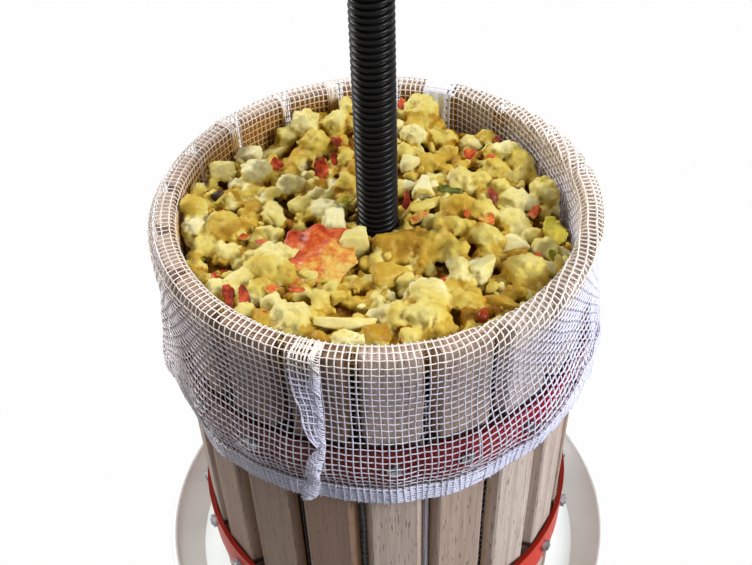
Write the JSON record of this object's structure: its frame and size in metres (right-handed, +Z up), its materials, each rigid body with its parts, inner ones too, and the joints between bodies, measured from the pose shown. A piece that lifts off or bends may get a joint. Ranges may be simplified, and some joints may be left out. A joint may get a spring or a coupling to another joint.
{
  "type": "fruit press",
  "caption": "Upright screw press: slatted wooden basket with steel hoops on a round juice tray with legs, a fixed threaded spindle and a turning nut with arms.",
  "frame": {"origin": "on the floor, on the axis of the spindle, at the centre of the circle of the three foot bolt holes", "axes": "+Z up along the spindle, -Y the front where the juice spout points, +X to the right"},
  "size_m": [0.468, 0.452, 0.846],
  "materials": {
    "basket_beech": "planed open-pored hardwood, dry",
    "press_beech": "planed beech",
    "red_paint": "glossy red paint",
    "zinc_plate": "bright zinc",
    "white_enamel": "glossy white enamel",
    "black_oxide_steel": "oiled black oxide",
    "black_steel_plate": "satin black paint",
    "black_cast_iron": "black painted casting",
    "seal_rubber": "matt black rubber",
    "bronze": "turned bronze",
    "grip_plastic": "moulded black plastic",
    "bag_net": "white woven net",
    "fruit_pulp": "wet crushed apple"
  },
  "bodies": {
    "stand": {"slat_01": "basket_beech", "slat_02": "basket_beech", "slat_03": "basket_beech", "slat_04": "basket_beech", "slat_05": "basket_beech", "slat_06": "basket_beech", "slat_07": "basket_beech", "slat_08": "basket_beech", "slat_09": "basket_beech", "slat_10": "basket_beech", "slat_11": "basket_beech", "slat_12": "basket_beech", "slat_13": "basket_beech", "slat_14": "basket_beech", "slat_15": "basket_beech", "slat_16": "basket_beech", "slat_17": "basket_beech", "slat_18": "basket_beech", "slat_19": "basket_beech", "slat_20": "basket_beech", "leg_back": "red_paint", "leg_left": "red_paint", "leg_right": "red_paint", "hub_plate": "red_paint", "hoop_upper": "red_paint", "hoop_lower": "red_paint", "base_bolts": "zinc_plate", "base_nuts": "zinc_plate", "hoop_bolts": "zinc_plate", "hoop_nuts": "zinc_plate", "spindle_lower_washer": "zinc_plate", "spindle_lower_nut": "zinc_plate", "spindle_upper_nut": "zinc_plate", "juice_tray": "white_enamel", "juice_spout": "white_enamel", "hub_spacer": "zinc_plate", "spindle": "black_oxide_steel", "tray_seal": "seal_rubber", "press_bag": "bag_net", "fruit_mash": "fruit_pulp"},
    "press_plate": {"press_board_front": "press_beech", "press_board_back": "press_beech", "block_lower_left": "press_beech", "block_lower_right": "press_beech", "block_upper_front": "press_beech", "block_upper_back": "press_beech", "yoke_plate": "black_steel_plate", "thrust_washer": "bronze", "keeper_left": "black_steel_plate", "keeper_right": "black_steel_plate", "keeper_screws": "zinc_plate", "board_bolts": "zinc_plate", "board_nuts": "zinc_plate"},
    "crank_head": {"press_nut": "black_cast_iron", "arm_left": "black_oxide_steel", "arm_right": "black_oxide_steel", "grip_left": "grip_plastic", "grip_right": "grip_plastic", "arm_screws": "zinc_plate"}
  },
  "joints": [
    {"name": "press_travel", "type": "slide", "parent": "stand", "child": "press_plate", "axis": [0, 0, 1], "range_m": [-0.3085, 0], "deforming": ["fruit_mash"]},
    {"name": "nut_turn", "type": "hinge", "parent": "press_plate", "child": "crank_head", "pos_m": [0, 0, 0.811], "axis": [0, 0, 1], "range_deg": [-27720, 0]}
  ],
  "couplings": [
    {"joint": "press_travel", "follows": "nut_turn", "m_per_rad": 0.00063662}
  ]
}
